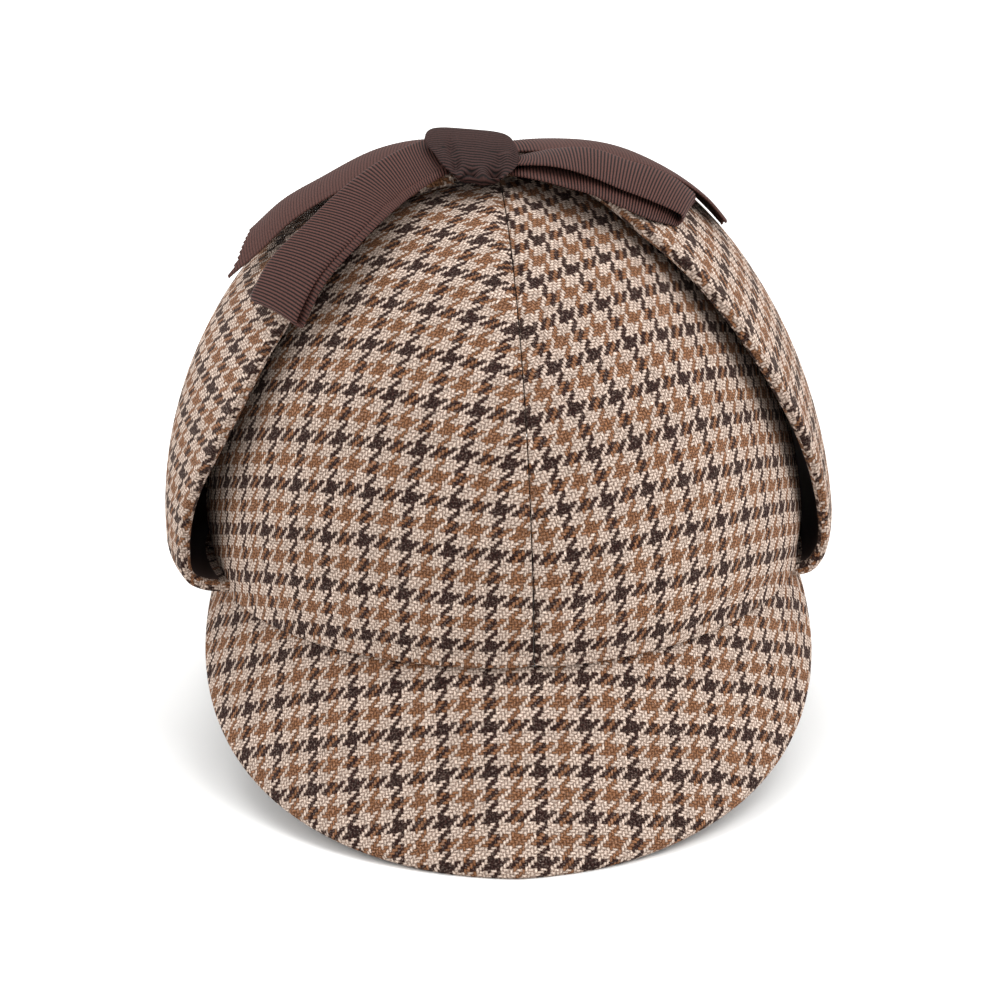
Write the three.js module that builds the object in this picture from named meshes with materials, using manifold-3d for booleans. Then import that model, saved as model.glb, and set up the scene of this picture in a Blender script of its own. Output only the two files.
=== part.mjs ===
import * as THREE from "three";
import { mergeVertices } from "three/addons/utils/BufferGeometryUtils.js";
import Module from "manifold-3d";

// A tweed deerstalker: a crown of four gores, a peak at the front and one at the back, and two ear flaps
// folded up and tied over the top in a bow of corded ribbon. Millimetres, +Z up, the front faces -Y, and
// the origin is on the floor under the middle of the hat, which stands on the edges of its two peaks.

// Crown
const headLength = 202; // inside the rim, front to back
const headWidth = 170; // inside the rim, side to side
const crownWall = 3; // tweed, interlining and lining together
const crownHeight = 119; // rim to the top of the cloth
const ringHeight = 13; // the widest ring of the crown stands this high over the rim
const ringBulge = 2.6; // and this far outside it
const frontFullness = 2.02; // exponent of the profile at front and back, where 2 is an ellipse
const sideFullness = 2.08; // exponent of the profile at the sides
// The tied flaps pull the sides of the crown towards -X. This is the lean that a side would reach at the
// height of the apex if it stood as far out as the ring.
const sideLean = 6.5;
const crownTurn = 4; // degrees: the crown was sewn this far round on the peaks, front towards +X
const seamGap = 0.3; // between neighbouring pieces
const apexHole = 2; // radius left open where the four points of the gores meet, under the knot

// Peaks
const peakDepth = 63.5; // down the slope at the middle
const peakThickness = 4; // stiffener covered on both sides
const peakReach = 87; // degrees round the rim from the middle to each end
const peakSlope = 54; // degrees under the horizontal at the middle
const peakEndSlope = 68; // and at its ends
const peakRoundness = 1.5; // exponent of the outline along the rim
const peakEndShare = 0.985; // the outline is cut square at this share of the reach
const peakInset = 0.8; // its upper face starts this far inside the outer edge of the rim
const restFlat = 1.2; // how much of the lowest edge is pressed flat where the hat stands on it

// Ear flaps
const flapThickness = 3.4; // two layers of tweed, turned in at the edge
const flapHalfWidth = 40; // from its middle to its front or back edge, where it is widest
const flapShift = 7; // the crown's turn carries the right flap back and the left one forward
const tipShift = 2; // and their tips
const earPuff = 8.5; // free space between flap and crown at the ear, under the front edge
const backPuff = 1.5; // and under the back edge
const backFade = 1.5; // exponent of the way from the one to the other
const tipPuff = 0.5; // free space at the tips
const puffFade = 1.2; // exponent of the way there from the ear
const tipGap = 12.2; // between the tips of the two flaps, under the knot
const footHeight = 6.5; // height of the turn at the foot of the flap
const footTuck = 1; // how far the foot reaches in under the ring of the crown
const footSplay = 3; // the foot comes out nearly sideways: it follows the rim this many times less
const footShare = 0.16; // share of the flap's mesh that the foot takes
const flapOutline = [
  // shares of the way from the ear to the tip, and of the flap's half width
  { height: 0, half: 0.8 },
  { height: 0.3, half: 0.96 },
  { height: 0.5, half: 1 },
  { height: 0.68, half: 0.84 },
  { height: 0.84, half: 0.38 },
  { height: 1, half: 0.2 },
];

// Knot of the bow
const knotLength = 24.5; // side to side
const knotDepth = 28; // front to back
const knotHeight = 9.5;
const knotSquareness = 2.5; // exponent of its outline
const bowOffset = -7; // the knot has slipped this far towards -X
const knotForward = 8; // and this far towards the front
const knotTilt = 14; // degrees that its front hangs down

// Ribbon: each row of a table is a section across it, from its far edge (towards +Y) to its near edge. Out
// is the share of the way from the knot's end to the widest ring of the crown, and y the share of the
// crown's half length. Lifts are shares of bowHeight over the flap tips, and gap is such a share between the
// two layers of a loop.
const ribbonThickness = 1;
const bowHeight = 10;
const turnShare = 0.12; // of a loop's length, which its turn at the end takes
const leftLoop = [
  { farOut: 0, farY: 0.0, farLift: 0.7, nearOut: 0, nearY: -0.15, nearLift: 0.35, gap: 0.2 },
  { farOut: 0.18, farY: -0.08, farLift: 0.85, nearOut: 0.07, nearY: -0.21, nearLift: 0.35, gap: 0.25 },
  { farOut: 0.3, farY: -0.15, farLift: 0.95, nearOut: 0.16, nearY: -0.27, nearLift: 0.38, gap: 0.28 },
  { farOut: 0.4, farY: -0.21, farLift: 1.0, nearOut: 0.26, nearY: -0.34, nearLift: 0.46, gap: 0.28 },
  { farOut: 0.52, farY: -0.25, farLift: 1.0, nearOut: 0.38, nearY: -0.4, nearLift: 0.55, gap: 0.26 },
  { farOut: 0.59, farY: -0.3, farLift: 0.95, nearOut: 0.46, nearY: -0.47, nearLift: 0.6, gap: 0.22 },
];
const rightLoop = [
  { farOut: 0, farY: 0.06, farLift: 0.4, nearOut: 0, nearY: -0.1, nearLift: 0.42, gap: 0.25 },
  { farOut: 0.14, farY: -0.01, farLift: 0.7, nearOut: 0.13, nearY: -0.19, nearLift: 0.8, gap: 0.55 },
  { farOut: 0.24, farY: -0.02, farLift: 0.85, nearOut: 0.22, nearY: -0.2, nearLift: 0.8, gap: 0.5 },
  { farOut: 0.35, farY: -0.03, farLift: 0.95, nearOut: 0.32, nearY: -0.21, nearLift: 0.8, gap: 0.45 },
  { farOut: 0.46, farY: -0.03, farLift: 1.0, nearOut: 0.42, nearY: -0.21, nearLift: 0.85, gap: 0.42 },
  { farOut: 0.55, farY: -0.01, farLift: 0.9, nearOut: 0.51, nearY: -0.18, nearLift: 0.8, gap: 0.3 },
];
const leftTail = [
  { farOut: 0, farY: 0.15, farLift: 0.2, nearOut: 0, nearY: 0.01, nearLift: 0.17 },
  { farOut: 0.18, farY: 0.16, farLift: 0.5, nearOut: 0.16, nearY: -0.03, nearLift: 0.35 },
  { farOut: 0.35, farY: 0.13, farLift: 0.75, nearOut: 0.32, nearY: -0.06, nearLift: 0.7 },
  { farOut: 0.49, farY: 0.11, farLift: 0.8, nearOut: 0.46, nearY: -0.09, nearLift: 0.78 },
  { farOut: 0.57, farY: 0.08, farLift: 0.85, nearOut: 0.58, nearY: -0.12, nearLift: 0.85 },
  { farOut: 0.62, farY: 0.06, farLift: 0.9, nearOut: 0.69, nearY: -0.14, nearLift: 0.95 },
];
const rightTail = [
  { farOut: 0, farY: 0.2, farLift: 0.2, nearOut: 0, nearY: 0.07, nearLift: 0.17 },
  { farOut: 0.14, farY: 0.22, farLift: 0.4, nearOut: 0.13, nearY: 0.03, nearLift: 0.35 },
  { farOut: 0.34, farY: 0.23, farLift: 0.5, nearOut: 0.34, nearY: 0.03, nearLift: 0.5 },
  { farOut: 0.51, farY: 0.23, farLift: 0.65, nearOut: 0.51, nearY: 0.04, nearLift: 0.65 },
  { farOut: 0.63, farY: 0.21, farLift: 0.85, nearOut: 0.63, nearY: 0.02, nearLift: 0.85 },
  { farOut: 0.7, farY: 0.18, farLift: 1.0, nearOut: 0.69, nearY: -0.01, nearLift: 1.05 },
];

// Mesh density
const goreSteps = 13;
const climbSteps = 17;
const peakSteps = 44;
const peakRows = 6;
const flapSteps = 12;
const flapRows = 26;
const loopSteps = 36;
const tailSteps = 14;
const ribbonRows = 2;
const knotSteps = 20;
const knotRows = 12;

const rimHalfWidth = headWidth / 2 + crownWall;
const rimHalfLength = headLength / 2 + crownWall;
const ringHalfWidth = rimHalfWidth + ringBulge;
const ringHalfLength = rimHalfLength + ringBulge;
const radians = THREE.MathUtils.degToRad;

const ringZ = ringHeight; // all heights are over the rim until the hat is stood on the floor
const domeHeight = crownHeight - ringHeight;
const tuckShare = ringBulge / ringHalfLength;
const tuckHeight = ringHeight / Math.sqrt(1 - (1 - tuckShare) ** 2);

// The exponent of the profile in the direction (x, y) from the axis.
function fullnessTowards(x, y) {
  const sideways = (x / ringHalfWidth) ** 2;
  const lengthways = (y / ringHalfLength) ** 2;
  return frontFullness + ((sideFullness - frontFullness) * sideways) / (sideways + lengthways + 1e-9);
}

// The crown's outer skin: azimuth 0 is the front, climb runs from below the ring (negative) to 90 at the top.
function crownSkin(azimuth, climb) {
  const x = ringHalfWidth * Math.sin(azimuth);
  const y = -ringHalfLength * Math.cos(azimuth);
  if (climb < 0) {
    const reach = Math.cos(climb);
    return new THREE.Vector3(x * reach, y * reach, ringZ + tuckHeight * Math.sin(climb));
  }
  const power = 2 / fullnessTowards(x, y);
  const reach = Math.cos(climb) ** power;
  return new THREE.Vector3(x * reach, y * reach, ringZ + domeHeight * Math.sin(climb) ** power);
}

// The crown's skin over the plan position (x, y).
function crownOver(x, y) {
  const reach = Math.min(1, Math.hypot(x / ringHalfWidth, y / ringHalfLength));
  const power = fullnessTowards(x, y);
  return new THREE.Vector3(x, y, ringZ + domeHeight * (1 - reach ** power) ** (1 / power));
}

// The direction square to the crown's skin at one of its points over the ring.
function crownNormal(point) {
  const power = fullnessTowards(point.x, point.y);
  const reach = Math.hypot(point.x / ringHalfWidth, point.y / ringHalfLength) ** (power - 2);
  const height = Math.max(0, (point.z - ringZ) / domeHeight) ** (power - 1);
  return new THREE.Vector3(
    (reach * point.x) / ringHalfWidth ** 2,
    (reach * point.y) / ringHalfLength ** 2,
    height / domeHeight,
  ).normalize();
}

// A point of the crown, or of what lies over it, moved by the lean of the sides.
function leaned(point) {
  const share = (point.x / ringHalfWidth) ** 2 * Math.max(0, (point.z - ringZ) / domeHeight);
  return point.setX(point.x - sideLean * share);
}

// The direction square to a surface given as a function of two parameters from 0 to 1.
function normalOf(surface, u, v) {
  const step = 1e-3;
  const along = surface(Math.min(u + step, 1), v).sub(surface(Math.max(u - step, 0), v));
  const up = surface(u, Math.min(v + step, 1)).sub(surface(u, Math.max(v - step, 0)));
  return along.cross(up).normalize();
}

// A closed wall under a surface: the surface, a copy of it one thickness inside, and the rim between them.
function wall(surface, thickness, columns, rows) {
  const points = [];
  const place = (layer, i, j) => (layer * (rows + 1) + j) * (columns + 1) + i;
  for (const layer of [0, 1]) {
    for (let j = 0; j <= rows; j++) {
      for (let i = 0; i <= columns; i++) {
        const [u, v] = [i / columns, j / rows];
        const point = surface(u, v);
        if (layer) point.addScaledVector(normalOf(surface, u, v), -thickness);
        points.push(point.x, point.y, point.z);
      }
    }
  }
  const faces = [];
  const quad = (a, b, c, d) => faces.push(a, b, c, a, c, d);
  for (let j = 0; j < rows; j++) {
    for (let i = 0; i < columns; i++) {
      quad(place(0, i, j), place(0, i + 1, j), place(0, i + 1, j + 1), place(0, i, j + 1));
      quad(place(1, i, j), place(1, i, j + 1), place(1, i + 1, j + 1), place(1, i + 1, j));
    }
  }
  for (let i = 0; i < columns; i++) {
    quad(place(0, i, 0), place(1, i, 0), place(1, i + 1, 0), place(0, i + 1, 0));
    quad(place(0, i, rows), place(0, i + 1, rows), place(1, i + 1, rows), place(1, i, rows));
  }
  for (let j = 0; j < rows; j++) {
    quad(place(0, 0, j), place(0, 0, j + 1), place(1, 0, j + 1), place(1, 0, j));
    quad(place(0, columns, j), place(1, columns, j), place(1, columns, j + 1), place(0, columns, j + 1));
  }
  const geometry = new THREE.BufferGeometry();
  geometry.setAttribute("position", new THREE.Float32BufferAttribute(points, 3));
  geometry.setIndex(faces);
  return geometry;
}

// Solids for the cut that flattens the peaks
const wasm = await Module();
wasm.setup();

function toSolid(geometry) {
  const plain = geometry.clone();
  plain.deleteAttribute("normal");
  plain.deleteAttribute("uv");
  const merged = mergeVertices(plain);
  const vertProperties = merged.attributes.position.array;
  return new wasm.Manifold(new wasm.Mesh({ numProp: 3, vertProperties, triVerts: merged.index.array }));
}

function toGeometry(solid) {
  const { vertProperties, triVerts } = solid.getMesh();
  const geometry = new THREE.BufferGeometry();
  geometry.setAttribute("position", new THREE.BufferAttribute(vertProperties, 3));
  geometry.setIndex(new THREE.BufferAttribute(triVerts, 1));
  return geometry;
}

// What of a piece reaches under this height is pressed flat.
function flattenUnder(geometry, height) {
  const reach = geometry.boundingBox.getSize(new THREE.Vector3()).length();
  const under = new THREE.BoxGeometry(2 * reach, 2 * reach, 2 * reach).translate(0, 0, height - reach);
  return toGeometry(toSolid(geometry).subtract(toSolid(under)));
}

const tweed = new THREE.MeshStandardMaterial({ color: 0x9c8272, roughness: 0.95, metalness: 0 });
const grosgrain = new THREE.MeshStandardMaterial({ color: 0x4b312e, roughness: 0.8, metalness: 0 });

const deerstalker = new THREE.Group();

function addPiece(name, geometry, material) {
  const mesh = new THREE.Mesh(geometry, material.clone());
  mesh.name = name;
  deerstalker.add(mesh);
}

// Crown: four gores, one in each quarter, from the rim to the apex
const climbAtRim = -Math.asin(ringHeight / tuckHeight);
const climbAtApex = Math.acos((apexHole / ringHalfWidth) ** (frontFullness / 2));

// The skin of the quarter that starts at this azimuth, short of each seam by half the seam gap.
function gore(firstAzimuth) {
  const quarter = Math.PI / 2;
  return (u, v) => {
    const climb = climbAtRim + (climbAtApex - climbAtRim) * v;
    const radius = crownSkin(firstAzimuth, climb).setZ(0).length();
    const margin = seamGap / 2 / radius;
    return leaned(crownSkin(firstAzimuth + margin + (quarter - 2 * margin) * u, climb));
  };
}

const goreAzimuths = {
  crown_gore_front_left: -90,
  crown_gore_front_right: 0,
  crown_gore_back_right: 90,
  crown_gore_back_left: 180,
};
for (const [name, azimuth] of Object.entries(goreAzimuths)) {
  addPiece(name, wall(gore(radians(azimuth + crownTurn)), crownWall, goreSteps, climbSteps), tweed);
}

// Peaks: a crescent that leaves the rim all round its front and slopes down, most steeply at its ends
function frontPeak(u, v) {
  const share = (2 * u - 1) * peakEndShare;
  const azimuth = radians(peakReach) * share;
  const depth = peakDepth * (1 - Math.abs(share) ** peakRoundness) ** (1 / peakRoundness);
  const slope = radians(peakSlope + (peakEndSlope - peakSlope) * Math.abs(Math.sin(azimuth)));
  const halfWidth = rimHalfWidth - peakInset;
  const halfLength = rimHalfLength - peakInset;
  const outward = new THREE.Vector3(halfLength * Math.sin(azimuth), -halfWidth * Math.cos(azimuth), 0);
  outward.normalize();
  const down = depth * (1 - v);
  return new THREE.Vector3(
    halfWidth * Math.sin(azimuth) + outward.x * down * Math.cos(slope),
    -halfLength * Math.cos(azimuth) + outward.y * down * Math.cos(slope),
    -seamGap - down * Math.sin(slope),
  );
}

const fullPeak = wall(frontPeak, peakThickness, peakSteps, peakRows);
fullPeak.computeBoundingBox();
const floorZ = fullPeak.boundingBox.min.z + restFlat;
const peakWall = flattenUnder(fullPeak, floorZ);
addPiece("front_peak", peakWall, tweed);
addPiece("back_peak", peakWall.clone().rotateZ(Math.PI), tweed);

// The value of a column of a table at a share between its rows, on a smooth curve through them.
function along(table, key, column, share) {
  const last = table.length - 1;
  const after = Math.max(1, table.findIndex((row) => row[key] >= share - 1e-9));
  const at = (index) => table[Math.min(Math.max(index, 0), last)][column];
  const [from, to] = [table[after - 1][key], table[after][key]];
  const t = (share - from) / (to - from);
  const [before, start, end, next] = [at(after - 2), at(after - 1), at(after), at(after + 1)];
  const leave = (end - before) / 2;
  const arrive = (next - start) / 2;
  const bend = 3 * (end - start) - 2 * leave - arrive;
  const twist = 2 * (start - end) + leave + arrive;
  return start + leave * t + bend * t ** 2 + twist * t ** 3;
}

// The free space under a flap at the ear, at the share u of its width from its front edge.
function puffAtEar(u) {
  return earPuff + (backPuff - earPuff) * u ** backFade;
}

// Ear flaps: each leaves the rim, turns up outside the crown and follows it to a tip under the knot
function flap(side) {
  const tipX = side * bowOffset + tipGap / 2;
  const climbAtTip = Math.acos(tipX / ringHalfWidth);
  return (u, v) => {
    const half = flapHalfWidth * along(flapOutline, "height", "half", v);
    const y = (2 * u - 1) * half + side * (flapShift + (tipShift - flapShift) * v);
    const climb = climbAtTip * v;
    const x = side * ringHalfWidth * Math.cos(climb) * Math.sqrt(1 - (y / ringHalfLength) ** 2);
    const skin = crownOver(x, y);
    const puff = tipPuff + (puffAtEar(u) - tipPuff) * Math.cos((v * Math.PI) / 2) ** puffFade;
    return leaned(skin.addScaledVector(crownNormal(skin), puff + flapThickness));
  };
}

// The foot of the flap: a quarter turn that carries the cloth from the rim out to the flap's face
function flapWithFoot(side) {
  const face = flap(side);
  return (u, v) => {
    const across = side > 0 ? u : 1 - u;
    if (v >= footShare) return face(across, (v - footShare) / (1 - footShare));
    const start = face(across, 0);
    const turn = ((1 - v / footShare) * Math.PI) / 2;
    const outward = new THREE.Vector3(start.x, start.y / footSplay, 0).normalize();
    const straight = start.z - seamGap - footHeight;
    const footReach = puffAtEar(across) + flapThickness + footTuck;
    return start
      .addScaledVector(outward, -footReach * (1 - Math.cos(turn)))
      .setZ(seamGap + footHeight * (1 - Math.sin(turn)) + straight * (v / footShare) ** 2);
  };
}

for (const [name, side] of Object.entries({ ear_flap_right: 1, ear_flap_left: -1 })) {
  addPiece(name, wall(flapWithFoot(side), flapThickness, flapSteps, flapRows), tweed);
}

// Knot: the ribbon wrapped tightly round itself, over the tips of the flaps
function knot() {
  const rounded = (value) => Math.sign(value) * Math.abs(value) ** (2 / knotSquareness);
  const geometry = new THREE.SphereGeometry(1, knotSteps, knotRows);
  const position = geometry.getAttribute("position");
  for (let i = 0; i < position.count; i++) {
    const [x, y, z] = [position.getX(i), position.getY(i), position.getZ(i)].map(rounded);
    position.setXYZ(i, (x * knotLength) / 2, (y * knotHeight) / 2, (z * knotDepth) / 2);
  }
  geometry.deleteAttribute("normal");
  geometry.deleteAttribute("uv");
  const lowest = crownOver(bowOffset, -knotForward).z + tipPuff + flapThickness + seamGap;
  return mergeVertices(geometry, 1e-4)
    .rotateX(Math.PI / 2 + radians(knotTilt))
    .translate(bowOffset, -knotForward, lowest + knotHeight / 2);
}

addPiece("ribbon_knot", knot(), grosgrain);

// A point of a ribbon: reach is the share of its length, across goes from its near edge to its far one, and
// sink is how far it lies under the table's height, as a share of bowHeight.
function ribbonPoint(table, side, reach, across, sink) {
  const rows = table.map((row, index) => ({ ...row, reach: index / (table.length - 1) }));
  const between = (near, far) =>
    THREE.MathUtils.lerp(along(rows, "reach", near, reach), along(rows, "reach", far, reach), across);
  const knotEnd = side * bowOffset + knotLength / 2 + seamGap;
  const x = side * THREE.MathUtils.lerp(knotEnd, ringHalfWidth, between("nearOut", "farOut"));
  const skin = crownOver(x, between("nearY", "farY") * ringHalfLength);
  const lift = tipPuff + flapThickness + (between("nearLift", "farLift") - sink) * bowHeight;
  return leaned(skin.addScaledVector(crownNormal(skin), lift));
}

function ribbonTail(table, side) {
  return (u, v) => ribbonPoint(table, side, u, side > 0 ? v : 1 - v, 0);
}

// A loop goes out along its table, turns over at the end in half a circle, and comes back under itself.
function ribbonLoop(table, side) {
  const rows = table.map((row, index) => ({ ...row, reach: index / (table.length - 1) }));
  return (u, v) => {
    const across = side > 0 ? v : 1 - v;
    const reach = Math.min(1, Math.min(u, 1 - u) / (0.5 - turnShare / 2));
    const turn = THREE.MathUtils.clamp((u - 0.5) / turnShare + 0.5, 0, 1) * Math.PI;
    const gap = along(rows, "reach", "gap", reach);
    const point = ribbonPoint(table, side, reach, across, (gap * (1 - Math.cos(turn))) / 2);
    const beforeEnd = ribbonPoint(table, side, 1 - turnShare, across, 0);
    const outward = ribbonPoint(table, side, 1, across, 0).sub(beforeEnd).normalize();
    return point.addScaledVector(outward, ((gap * bowHeight) / 2) * Math.sin(turn));
  };
}

for (const [name, table, side] of [
  ["ribbon_loop_left", leftLoop, -1],
  ["ribbon_loop_right", rightLoop, 1],
]) {
  addPiece(name, wall(ribbonLoop(table, side), ribbonThickness, loopSteps, ribbonRows), grosgrain);
}
for (const [name, table, side] of [
  ["ribbon_tail_left", leftTail, -1],
  ["ribbon_tail_right", rightTail, 1],
]) {
  addPiece(name, wall(ribbonTail(table, side), ribbonThickness, tailSteps, ribbonRows), grosgrain);
}

// Stood on the floor
deerstalker.position.z = -floorZ;

export default deerstalker;
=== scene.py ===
"""A houndstooth tweed deerstalker, its ear flaps tied over the crown with a bow of corded ribbon.

Lengths are in millimetres until a mesh is made, +Z is up, and the front faces -Y.
"""
import math

import bpy
import numpy as np
from mathutils import Euler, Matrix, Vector


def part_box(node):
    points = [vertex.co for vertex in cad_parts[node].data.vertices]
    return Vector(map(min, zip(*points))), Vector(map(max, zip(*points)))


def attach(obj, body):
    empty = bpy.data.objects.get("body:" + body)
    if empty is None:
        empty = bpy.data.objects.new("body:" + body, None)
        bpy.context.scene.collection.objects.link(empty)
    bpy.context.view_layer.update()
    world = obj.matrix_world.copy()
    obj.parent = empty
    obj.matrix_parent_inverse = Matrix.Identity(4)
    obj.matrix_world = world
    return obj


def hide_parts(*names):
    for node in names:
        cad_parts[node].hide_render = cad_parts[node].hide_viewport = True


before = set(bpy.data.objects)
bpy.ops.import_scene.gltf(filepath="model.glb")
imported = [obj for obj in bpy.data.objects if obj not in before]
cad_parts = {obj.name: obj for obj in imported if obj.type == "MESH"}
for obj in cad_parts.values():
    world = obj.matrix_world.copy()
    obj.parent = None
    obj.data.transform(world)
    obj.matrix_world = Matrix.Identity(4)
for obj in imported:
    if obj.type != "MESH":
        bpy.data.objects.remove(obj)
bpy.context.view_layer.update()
MM = 0.001
scene = bpy.context.scene

# Camera: it looks at the hat from a little above the front. It stands far back, so that the hat keeps its
# proportions, and its picture is square.
PICTURE = 1000  # pixels each way
PIXELS_PER_MM = 3.27  # at the aim point
SENSOR = 36
CAMERA_DISTANCE = 2300
CAMERA_AZIMUTH = math.radians(1)
CAMERA_ELEVATION = math.radians(20)
CAMERA_ROLL = math.radians(-1)
AIM = np.array([0.0, 0.0, 52.0])
AIM_PIXEL = (505, 548)  # where the aim point shows

towards = np.array([
    math.sin(CAMERA_AZIMUTH) * math.cos(CAMERA_ELEVATION),
    math.cos(CAMERA_AZIMUTH) * math.cos(CAMERA_ELEVATION),
    -math.sin(CAMERA_ELEVATION),
])
right = np.array([math.cos(CAMERA_AZIMUTH), -math.sin(CAMERA_AZIMUTH), 0.0])
upward = np.cross(right, towards)

camera_data = bpy.data.cameras.new("camera")
camera_data.sensor_width = SENSOR
camera_data.lens = SENSOR * PIXELS_PER_MM * CAMERA_DISTANCE / PICTURE
camera_data.shift_x = 0.5 - AIM_PIXEL[0] / PICTURE
camera_data.shift_y = AIM_PIXEL[1] / PICTURE - 0.5
camera_data.clip_end = 20  # metres
camera = bpy.data.objects.new("camera", camera_data)
camera.location = (AIM - towards * CAMERA_DISTANCE) * MM
level = Vector(towards).to_track_quat("-Z", "Y")
camera.rotation_euler = (level.to_matrix() @ Euler((0, 0, CAMERA_ROLL)).to_matrix()).to_euler()
scene.collection.objects.link(camera)
scene.camera = camera


def in_picture(points):
    """The pixels at which points in millimetres show."""
    offset = points - AIM
    scale = PIXELS_PER_MM * CAMERA_DISTANCE / (CAMERA_DISTANCE + offset @ towards)
    across, down = (offset @ right) * scale, -(offset @ upward) * scale
    turn_x, turn_y = math.cos(CAMERA_ROLL), math.sin(CAMERA_ROLL)
    return np.stack([AIM_PIXEL[0] + turn_x * across - turn_y * down,
                     AIM_PIXEL[1] + turn_y * across + turn_x * down], -1)


def linear(colour):
    """An sRGB hex colour as the linear colour that a shader takes."""
    parts = [int(colour[i:i + 2], 16) / 255 for i in (1, 3, 5)]
    return [c / 12.92 if c <= 0.04045 else ((c + 0.055) / 1.055) ** 2.4 for c in parts] + [1.0]


def add(tree, kind, inputs=None, **settings):
    """Adds a node to a node tree, with its settings, values and links, and gives its first output."""
    node = tree.nodes.new(kind)
    for name, value in settings.items():
        setattr(node, name, value)
    for socket, value in (inputs or {}).items():
        if isinstance(value, bpy.types.NodeSocket):
            tree.links.new(value, node.inputs[socket])
        else:
            node.inputs[socket].default_value = value
    return node.outputs[0] if node.outputs else None


def new_material(name):
    """An empty node material, and its surface shader."""
    material = bpy.data.materials.new(name)
    material.use_nodes = True
    return material, material.node_tree.nodes["Principled BSDF"]


# Table and lamps: a wide white table top in an evenly lit white room, under four large soft lamps, two over
# the hat and one at each side. Neither is part of the hat.
TABLE_HALF = 6000  # from its middle to each edge
corners = [(x * TABLE_HALF * MM, y * TABLE_HALF * MM, 0) for x, y in ((-1, -1), (1, -1), (1, 1), (-1, 1))]
table_mesh = bpy.data.meshes.new("table_top")
table_mesh.from_pydata(corners, [], [(0, 1, 2, 3)])
table_top = bpy.data.objects.new("table_top", table_mesh)
scene.collection.objects.link(table_top)
# White melamine-faced board, pressed with a matt face: a plain white that mirrors nothing.
white_board, board_shader = new_material("white_board")
board_shader.inputs["Base Color"].default_value = linear("#F6F6F5")
board_shader.inputs["Roughness"].default_value = 0.9
board_shader.inputs["Specular IOR Level"].default_value = 0.1
table_mesh.materials.append(white_board)

ROOM_LIGHT = 0.93
LAMP_AIM = Vector((0, 0, 0.08))
LAMPS = (  # place and width in metres, and watts
    ("key_light", (0.9, -0.7, 1.8), 1.2, 16),
    ("top_light", (-0.3, 0.5, 1.9), 1.4, 16),
    ("left_light", (-1.7, -0.1, 0.8), 1.2, 14),
    ("right_light", (1.7, -0.2, 0.8), 1.2, 17),
)
world = bpy.data.worlds.new("studio")
world.use_nodes = True
world.node_tree.nodes["Background"].inputs["Color"].default_value = (1, 1, 1, 1)
world.node_tree.nodes["Background"].inputs["Strength"].default_value = ROOM_LIGHT
scene.world = world
for name, place, width, power in LAMPS:
    light_data = bpy.data.lights.new(name, "AREA")
    light_data.size = width
    light_data.energy = power
    light = bpy.data.objects.new(name, light_data)
    light.location = place
    light.rotation_euler = (LAMP_AIM - Vector(place)).to_track_quat("-Z", "Y").to_euler()
    scene.collection.objects.link(light)
scene.view_settings.view_transform = "Standard"

# Crown: four gores of tweed with interlining and lining behind them, sewn at the front, sides and back.
# Each seam pulls the cloth in a little, and each gore's threads run straight up its own middle.
RIM_HALF_WIDTH = 88.0
RIM_HALF_LENGTH = 104.0
CROWN_HEIGHT = 119.0
RING_HEIGHT = 13.0  # the widest ring of the crown is this high over the rim
RING_BULGE = 2.6  # and stands out from it this far
FRONT_FULLNESS = 2.02  # exponents of the crown's profile, where 2 is an ellipse
SIDE_FULLNESS = 2.08
SIDE_LEAN = 6.5  # the tied flaps pull the sides towards -X
CROWN_TURN = 4  # degrees that the crown was sewn round on the peaks
CROWN_WALL = 3.0
SEAM_GAP = 0.3
APEX_HOLE = 2.0  # radius of what is left open under the knot
SEAM_DIP = 0.9  # how far the cloth is pulled in at a seam
SEAM_REACH = 2.2  # and how far from it that shows
SEAM_ROLL = 0.4  # radius of a gore's edges along the seams
RIM_ROLL = 1.3  # radius of the cloth's turned edge at the rim
RIM_LAP = 0.3  # how far that edge hangs over the seam with a peak
RIM_BULGE, RIM_BULGE_REACH = 1.4, 3  # how far it stands out, and how far up that shows
SOFTNESS = 0.6  # height of the slow waves in the cloth
GORE_LENGTH, GORE_WIDTH = 170, 140  # roughly, to share out a gore's rows and columns

rim_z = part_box("crown_gore_front_left")[0].z / MM
ring_half_width = RIM_HALF_WIDTH + RING_BULGE
ring_half_length = RIM_HALF_LENGTH + RING_BULGE
dome_height = CROWN_HEIGHT - RING_HEIGHT
tuck_height = RING_HEIGHT / math.sqrt(1 - (1 - RING_BULGE / ring_half_length) ** 2)


def fullness(x, y):
    """The exponent of the crown's profile in the direction (x, y)."""
    sideways, lengthways = (x / ring_half_width) ** 2, (y / ring_half_length) ** 2
    return FRONT_FULLNESS + (SIDE_FULLNESS - FRONT_FULLNESS) * sideways / (sideways + lengthways + 1e-9)


def crown_skin(azimuth, climb):
    """The crown's outer skin over the rim. Azimuth 0 is the front, and climb goes from under the ring up to
    the top."""
    x, y = ring_half_width * np.sin(azimuth), -ring_half_length * np.cos(azimuth)
    power = 2 / fullness(x, y)
    above = np.clip(climb, 0, math.pi / 2)
    reach = np.where(climb < 0, np.cos(climb), np.cos(above) ** power)
    z = np.where(climb < 0, tuck_height * np.sin(climb), dome_height * np.sin(above) ** power)
    return np.stack([x * reach, y * reach, RING_HEIGHT + z], -1)


def crown_over(x, y):
    """The crown's skin over the plan positions (x, y)."""
    reach = np.minimum(1, np.hypot(x / ring_half_width, y / ring_half_length))
    power = fullness(x, y)
    return np.stack([x, y, RING_HEIGHT + dome_height * (1 - reach ** power) ** (1 / power)], -1)


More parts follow.
